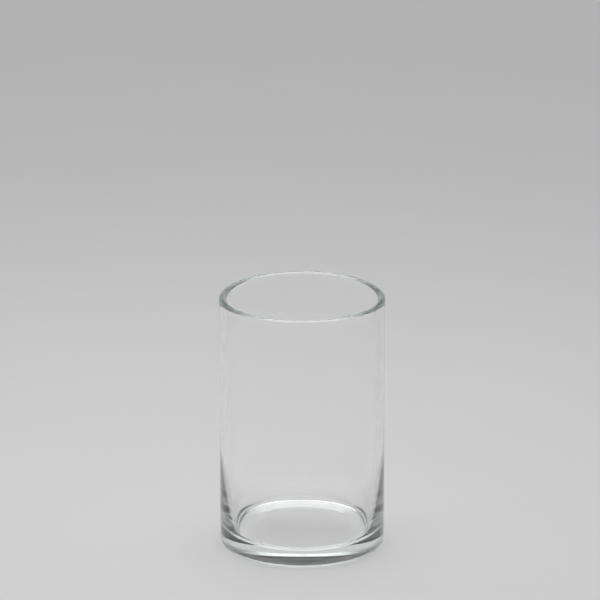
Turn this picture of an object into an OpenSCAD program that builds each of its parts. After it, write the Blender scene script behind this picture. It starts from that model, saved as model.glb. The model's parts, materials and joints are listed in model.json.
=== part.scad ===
// Glass cylinder vase: one blown piece of clear glass, standing on its base.
// Frame: +Z up along the vase's axis, origin at the middle of the plane it stands on. Millimetres.

/* [Body] */
// Outside diameter of the cylinder
body_d = 100; // [80:1:140]
// Overall height, from the table to the rim
body_h = 157; // [100:1:300]
// Thickness of the side wall
wall_t = 4.5; // [3:0.1:6]

/* [Base] */
// Thickness of the glass under the middle of the floor, above the table
base_t = 9; // [5:0.5:16]
// Radius of the corner between the inside wall and the floor
fillet_r = 5; // [3:0.5:14]
// Height up to which the wall is thicker than it is above
swell_h = 60; // [40:1:80]
// How much the inside wall has closed in by the level of the floor
swell_t = 3.5; // [1:0.5:5]
// Radius of the outside corner between the wall and the foot
heel_r = 3; // [2:0.5:6]
// Width of the flat ring that the vase stands on
foot_w = 5; // [2:0.5:12]
// Height of the shallow hollow under the base, at its middle
punt_h = 0.7; // [0.2:0.1:3]

/* [Hidden] */
$fn = 128;

outer_r = body_d / 2;
inner_r = outer_r - wall_t;
// The rim is melted round, as wide as the wall.
rim_r = wall_t / 2;
foot_outer_r = outer_r - heel_r;
punt_r = foot_outer_r - foot_w;
// The hollow is part of a sphere through the foot's inner edge and its own crown.
punt_sphere_r = (punt_r * punt_r + punt_h * punt_h) / (2 * punt_h);
// The wall closes in along one large arc, upright at its top and through the floor's corner below.
swell_rise = swell_h - base_t;
swell_r = (swell_rise * swell_rise + swell_t * swell_t) / (2 * swell_t);
swell_x = inner_r - swell_r;
// Middle of the round corner, which touches the large arc from inside
corner_z = base_t + fillet_r;
corner_x = swell_x + sqrt(pow(swell_r - fillet_r, 2) - pow(swell_h - corner_z, 2));
// Height at which the corner meets the large arc
touch_z = swell_h - (swell_h - corner_z) * swell_r / (swell_r - fillet_r);
// How far a cutting shape runs past what it cuts
clear = 1;

// Half of the vase's outside as a solid, with a rounded heel and a round rim.
module outside_half() {
    square([foot_outer_r, body_h - rim_r]);
    translate([0, heel_r]) square([outer_r, body_h - rim_r - heel_r]);
    translate([foot_outer_r, heel_r]) circle(heel_r);
    translate([inner_r + rim_r, body_h - rim_r]) circle(rim_r);
}

// Half of the space inside: straight walls that close in towards a rounded corner and a flat floor.
module inside_half() {
    translate([0, base_t]) square([corner_x, body_h - base_t + clear]);
    translate([0, swell_h]) square([inner_r, body_h - rim_r - swell_h]);
    translate([corner_x, corner_z]) circle(fillet_r);
    intersection() {
        translate([swell_x, swell_h]) circle(swell_r);
        translate([0, touch_z]) square([inner_r, swell_h - touch_z]);
    }
}

module vase_body() {
    color([0.90, 0.93, 0.92, 0.35])
        rotate_extrude()
            difference() {
                outside_half();
                inside_half();
                translate([0, punt_h - punt_sphere_r]) circle(punt_sphere_r);
            }
}

vase_body();
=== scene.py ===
"""Looks of the glass cylinder vase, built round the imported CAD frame. Metres, +Z up."""

import json
import math

import bpy
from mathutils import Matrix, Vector, noise


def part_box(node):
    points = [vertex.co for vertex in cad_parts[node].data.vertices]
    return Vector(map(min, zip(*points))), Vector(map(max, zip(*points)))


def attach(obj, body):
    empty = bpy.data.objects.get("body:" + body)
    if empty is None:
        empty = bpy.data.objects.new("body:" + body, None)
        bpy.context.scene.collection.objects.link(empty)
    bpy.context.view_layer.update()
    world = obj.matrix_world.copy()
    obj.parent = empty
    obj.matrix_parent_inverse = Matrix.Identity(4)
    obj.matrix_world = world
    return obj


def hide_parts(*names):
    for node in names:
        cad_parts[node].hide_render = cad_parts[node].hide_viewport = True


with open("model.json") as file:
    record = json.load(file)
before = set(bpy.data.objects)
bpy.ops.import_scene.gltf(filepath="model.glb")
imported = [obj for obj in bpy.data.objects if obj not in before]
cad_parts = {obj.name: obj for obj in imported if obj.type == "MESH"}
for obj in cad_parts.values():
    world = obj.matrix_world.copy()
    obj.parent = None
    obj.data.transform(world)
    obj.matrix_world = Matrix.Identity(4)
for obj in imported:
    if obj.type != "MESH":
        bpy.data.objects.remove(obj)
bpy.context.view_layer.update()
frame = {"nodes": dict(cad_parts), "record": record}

MM = 0.001
TOUCHING = 0.01 * MM    # what is closer to the table than this touches it


# ---------------------------------------------------------------- sizes, read from the frame

def height_on_axis(node, from_z, towards_z):
    """Where a line beside the vase's axis first meets the node."""
    start = Vector((0.3 * MM, 0.4 * MM, from_z))
    direction = Vector((0, 0, towards_z - from_z)).normalized()
    _, place, _, _ = frame["nodes"][node].ray_cast(start, direction)
    return place.z


def foot_ring(node):
    """Inner and outer radius of the flat ring that touches the table."""
    vertices = frame["nodes"][node].data.vertices
    radii = [math.hypot(v.co.x, v.co.y) for v in vertices if v.co.z < TOUCHING]
    return min(radii), max(radii)


mounts = {m["name"]: m for m in frame["record"]["mounts"]}
inside_wall = mounts["inside_wall"]
_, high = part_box("vase_body")
outer_r = high.x
rim_z = high.z
inner_r = inside_wall["dims"]["r_mm"] * MM
half_wall = inside_wall["dims"]["length_mm"] * MM / 2
wall_low_z = inside_wall["pos_m"][2] - half_wall
wall_high_z = inside_wall["pos_m"][2] + half_wall
floor_z = height_on_axis("vase_body", 0.1, 0.0)
punt_z = height_on_axis("vase_body", -0.1, 0.0)
foot_in_r, foot_out_r = foot_ring("vase_body")

CORNER_R = 5 * MM       # round corner between the inside wall and the floor
SWELL_IN = 3.5 * MM     # how much the inside wall has closed in by the level of the floor
UNEVEN = 0.05 * MM      # most that the inside wall strays from its true shape
WAVE_LENGTH = 45 * MM   # height of one slow wave in it
WAVE_FADE = 20 * MM     # the waves die out over this height at the rim and at the corner
WAVE_START = Vector((3.1, 7.7, 0.4))  # which part of the noise the waves are taken from

GLASS_IOR = 1.52
GLASS_TINT = (0.80, 0.86, 0.84, 1)
TINT_DENSITY = 4.0      # per metre of glass
FOOT_WEAR_Z = 0.3 * MM  # the foot is scratched up to this height
FOOT_ROUGHNESS = 0.12   # mean roughness of the scratched foot
SCRATCH_SCALE = 900     # per metre
MARK_ROUGHNESS = 0.02   # how strongly a few wiping marks blur the glass
MARK_SCALE = 60         # per metre
MARK_LEVEL = 0.62       # noise above this is a wiping mark


# ---------------------------------------------------------------- glass body

SEGMENTS = 360


def arc(centre, radius, from_deg, to_deg, steps):
    """Points along an arc in the profile plane, without its first point."""
    made = []
    for i in range(1, steps + 1):
        a = math.radians(from_deg + (to_deg - from_deg) * i / steps)
        made.append((centre[0] + radius * math.cos(a), centre[1] + radius * math.sin(a)))
    return made


def line(start, end, steps):
    """Points along a straight stretch, without its first point."""
    return [(start[0] + (end[0] - start[0]) * i / steps, start[1] + (end[1] - start[1]) * i / steps)
            for i in range(1, steps + 1)]


def vase_profile():
    """The half section, from the middle of the underside out, over the rim and in along the floor."""
    heel_r = outer_r - foot_out_r
    rim_r = rim_z - wall_high_z
    rise = wall_low_z - floor_z
    swell_r = (rise ** 2 + SWELL_IN ** 2) / (2 * SWELL_IN)
    swell = (inner_r - swell_r, wall_low_z)
    reach = swell_r - CORNER_R
    drop = wall_low_z - floor_z - CORNER_R
    corner = (swell[0] + math.sqrt(reach ** 2 - drop ** 2), floor_z + CORNER_R)
    turn = -math.degrees(math.asin(drop / reach))
    sphere_r = (foot_in_r ** 2 + punt_z ** 2) / (2 * punt_z)
    sweep = math.degrees(math.asin(foot_in_r / sphere_r))
    points = arc((0, punt_z - sphere_r), sphere_r, 90, 90 - sweep, 20)
    points += line((foot_in_r, 0), (foot_out_r, 0), 4)
    points += arc((foot_out_r, heel_r), heel_r, -90, 0, 12)
    points += line((outer_r, heel_r), (outer_r, wall_high_z), 30)
    points += arc((inner_r + rim_r, wall_high_z), rim_r, 0, 180, 24)
    points += line((inner_r, wall_high_z), (inner_r, wall_low_z), 40)
    points += arc(swell, swell_r, 0, turn, 24)
    points += arc(corner, CORNER_R, turn, -90, 14)
    points += line((corner[0], floor_z), (0, floor_z), 20)[:-1]
    return points


def unevenness(radius, z, angle):
    """How far the inside wall strays from its true shape here; the corner and the rim are true."""
    above_corner = z - floor_z - CORNER_R
    below_rim = wall_high_z - z
    on_inside_wall = inner_r - SWELL_IN <= radius <= inner_r + TOUCHING
    if not on_inside_wall or above_corner < 0 or below_rim < 0:
        return 0.0
    fade = min(1.0, above_corner / WAVE_FADE, below_rim / WAVE_FADE)
    place = Vector((math.cos(angle), math.sin(angle), z / WAVE_LENGTH)) + WAVE_START
    return UNEVEN * fade * noise.noise(place)


def revolve(name, profile, low_pole, high_pole):
    """A closed surface of revolution with a pole at each end of its profile."""
    verts = [(0, 0, low_pole)]
    for radius, z in profile:
        for i in range(SEGMENTS):
            a = 2 * math.pi * i / SEGMENTS
            r = radius + unevenness(radius, z, a)
            verts.append((r * math.cos(a), r * math.sin(a), z))
    verts.append((0, 0, high_pole))
    last = len(verts) - 1
    faces = []
    for i in range(SEGMENTS):
        j = (i + 1) % SEGMENTS
        faces.append((0, 1 + j, 1 + i))
        top = last - SEGMENTS
        faces.append((top + i, top + j, last))
        for k in range(len(profile) - 1):
            a, b = 1 + k * SEGMENTS, 1 + (k + 1) * SEGMENTS
            faces.append((a + i, a + j, b + j, b + i))
    mesh = bpy.data.meshes.new(name)
    mesh.from_pydata(verts, [], faces)
    mesh.validate()
    mesh.polygons.foreach_set("use_smooth", [True] * len(mesh.polygons))
    obj = bpy.data.objects.new(name, mesh)
    bpy.context.scene.collection.objects.link(obj)
    return obj


def math_node(tree, operation, *values):
    """A math node fed with numbers or with other nodes' outputs."""
    node = tree.nodes.new("ShaderNodeMath")
    node.operation = operation
    for socket, value in zip(node.inputs, values):
        if isinstance(value, (int, float)):
            socket.default_value = value
        else:
            tree.links.new(value, socket)
    return node.outputs["Value"]


def noise_node(tree, place, scale, detail):
    """Noise in the object's own coordinates, about 0 to 1."""
    node = tree.nodes.new("ShaderNodeTexNoise")
    node.inputs["Scale"].default_value = scale
    node.inputs["Detail"].default_value = detail
    tree.links.new(place, node.inputs["Vector"])
    return node.outputs["Fac"]


def clear_glass():
    """Clear glass with a faint tint in its depth, wiping marks on it and a scratched foot ring."""
    mat = bpy.data.materials.new("clear_glass")
    mat.use_nodes = True
    tree = mat.node_tree
    bsdf = tree.nodes["Principled BSDF"]
    bsdf.inputs["Base Color"].default_value = (1, 1, 1, 1)
    bsdf.inputs["IOR"].default_value = GLASS_IOR
    bsdf.inputs["Transmission Weight"].default_value = 1.0
    absorb = tree.nodes.new("ShaderNodeVolumeAbsorption")
    absorb.inputs["Color"].default_value = GLASS_TINT
    absorb.inputs["Density"].default_value = TINT_DENSITY
    tree.links.new(absorb.outputs["Volume"], tree.nodes["Material Output"].inputs["Volume"])

    place = tree.nodes.new("ShaderNodeTexCoord").outputs["Object"]
    axes = tree.nodes.new("ShaderNodeSeparateXYZ")
    tree.links.new(place, axes.inputs["Vector"])
    on_foot = math_node(tree, "LESS_THAN", axes.outputs["Z"], FOOT_WEAR_Z)
    scratches = math_node(tree, "MULTIPLY", noise_node(tree, place, SCRATCH_SCALE, 6), 2 * FOOT_ROUGHNESS)
    patches = math_node(tree, "SUBTRACT", noise_node(tree, place, MARK_SCALE, 3), MARK_LEVEL)
    marks = math_node(tree, "MULTIPLY", math_node(tree, "MAXIMUM", patches, 0.0), MARK_ROUGHNESS)
    worn = math_node(tree, "MULTIPLY", on_foot, scratches)
    tree.links.new(math_node(tree, "ADD", worn, marks), bsdf.inputs["Roughness"])
    return mat


glass = revolve("vase_glass", vase_profile(), punt_z, floor_z)
glass.data.materials.append(clear_glass())
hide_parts("vase_body")
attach(glass, "root")


# ---------------------------------------------------------------- stage

PAPER_SHADE = 0.72      # mean share of light that the paper sends back
PAPER_CLOUD = 0.02      # how much that varies over it
CLOUD_SCALE = 9         # per metre
TOOTH_SCALE = 1500      # per metre
TOOTH_DEPTH = 0.05 * MM
PAPER_RADIUS = 6.0
PAPER_Z = -0.2 * MM     # just under the foot, so that the two faces don't share a plane


def plain_paper():
    """Pale matt paper with slight cloudiness and a fine tooth."""
    mat = bpy.data.materials.new("paper")
    mat.use_nodes = True
    tree = mat.node_tree
    bsdf = tree.nodes["Principled BSDF"]
    bsdf.inputs["Roughness"].default_value = 0.9
    bsdf.inputs["Specular IOR Level"].default_value = 0.2
    place = tree.nodes.new("ShaderNodeTexCoord").outputs["Object"]
    cloud = math_node(tree, "MULTIPLY", noise_node(tree, place, CLOUD_SCALE, 2), PAPER_CLOUD)
    shade = math_node(tree, "ADD", cloud, PAPER_SHADE - PAPER_CLOUD / 2)
    grey = tree.nodes.new("ShaderNodeCombineColor")
    for channel in grey.inputs:
        tree.links.new(shade, channel)
    tree.links.new(grey.outputs["Color"], bsdf.inputs["Base Color"])
    tooth = tree.nodes.new("ShaderNodeBump")
    tooth.inputs["Strength"].default_value = 0.15
    tooth.inputs["Distance"].default_value = TOOTH_DEPTH
    tree.links.new(noise_node(tree, place, TOOTH_SCALE, 4), tooth.inputs["Height"])
    tree.links.new(tooth.outputs["Normal"], bsdf.inputs["Normal"])
    return mat


def paper_floor():
    """A wide round sheet of paper under the vase."""
    bpy.ops.mesh.primitive_circle_add(
        vertices=96, radius=PAPER_RADIUS, fill_type="NGON", location=(0, 0, PAPER_Z))
    disc = bpy.context.object
    disc.name = "floor"
    disc.data.materials.append(plain_paper())


def soft_light(name, place, target, size, watts):
    """A round softbox at one place, turned towards another."""
    data = bpy.data.lights.new(name, "AREA")
    data.shape = "DISK"
    data.size = size
    data.energy = watts
    light = bpy.data.objects.new(name, data)
    bpy.context.scene.collection.objects.link(light)
    light.location = place
    light.rotation_euler = (Vector(target) - Vector(place)).to_track_quat("-Z", "Y").to_euler()


def studio_surroundings(behind, in_front, beside):
    """Light from all round. Each side has bands of (elevation in degrees, brightness), horizon up."""
    world = bpy.data.worlds.new("studio")
    world.use_nodes = True
    tree = world.node_tree
    nodes, links = tree.nodes, tree.links
    place = nodes.new("ShaderNodeTexCoord")
    axes = nodes.new("ShaderNodeSeparateXYZ")
    links.new(place.outputs["Generated"], axes.inputs["Vector"])
    across = math_node(tree, "POWER", axes.outputs["X"], 2.0)
    along = math_node(tree, "POWER", axes.outputs["Y"], 2.0)
    level = math_node(tree, "MAXIMUM", math_node(tree, "ADD", across, along), 1e-4)
    is_behind = math_node(tree, "GREATER_THAN", axes.outputs["Y"], 0.0)
    side_share = math_node(tree, "DIVIDE", across, level)
    along_share = math_node(tree, "SUBTRACT", 1.0, side_share)
    behind_share = math_node(tree, "MULTIPLY", along_share, is_behind)
    front_share = math_node(tree, "SUBTRACT", along_share, behind_share)
    shares = [behind_share, front_share, side_share]
    total = 0.0
    for share, bands in zip(shares, (behind, in_front, beside)):
        ramp = nodes.new("ShaderNodeValToRGB")
        links.new(axes.outputs["Z"], ramp.inputs["Fac"])
        stops = ramp.color_ramp.elements
        for i, (elevation, value) in enumerate(bands):
            stop = stops[i] if i < 2 else stops.new(1.0)
            stop.position = math.sin(math.radians(elevation))
            stop.color = (value, value, value, 1)
        brightness = nodes.new("ShaderNodeRGBToBW")
        links.new(ramp.outputs["Color"], brightness.inputs["Color"])
        total = math_node(tree, "ADD", total, math_node(tree, "MULTIPLY", share, brightness.outputs["Val"]))
    links.new(total, nodes["Background"].inputs["Color"])
    bpy.context.scene.world = world


paper_floor()
soft_light("softbox", place=(-0.08, 0.0, 0.55), target=(-0.08, 0.0, 0), size=1.0, watts=1.5)
studio_surroundings(
    behind=[(0, 0.55), (2, 0.70), (14, 0.80), (18, 0.40), (22, 0.05), (43, 0.03),
            (50, 1.8), (70, 1.8), (80, 0.7), (90, 0.6)],
    in_front=[(0, 0.55), (2, 0.50), (5, 0.05), (47, 0.05), (57, 0.6), (90, 0.6)],
    beside=[(0, 0.55), (2, 0.40), (4, 0.02), (47, 0.02), (57, 1.7), (80, 1.7), (90, 0.6)],
)


# ---------------------------------------------------------------- camera

CAMERA_PLACE = (-0.0013, -2.5, 0.978)
CAMERA_DOWN = 18.24     # degrees below level
LENS = 262.6            # millimetres, on a sensor 36 mm wide
BOUNCES = 96            # light led round inside the wall turns black at the rim with fewer


def camera():
    """A long lens in front of the vase, looking down at it."""
    data = bpy.data.cameras.new("camera")
    data.sensor_width = 36
    data.lens = LENS
    data.clip_end = 30
    cam = bpy.data.objects.new("camera", data)
    bpy.context.scene.collection.objects.link(cam)
    cam.location = CAMERA_PLACE
    cam.rotation_euler = (math.radians(90 - CAMERA_DOWN), 0, 0)
    bpy.context.scene.camera = cam


camera()
scene = bpy.context.scene
scene.view_settings.view_transform = "Standard"
scene.cycles.blur_glossy = 0.0
scene.cycles.max_bounces = BOUNCES
scene.cycles.transmission_bounces = BOUNCES
scene.cycles.glossy_bounces = BOUNCES
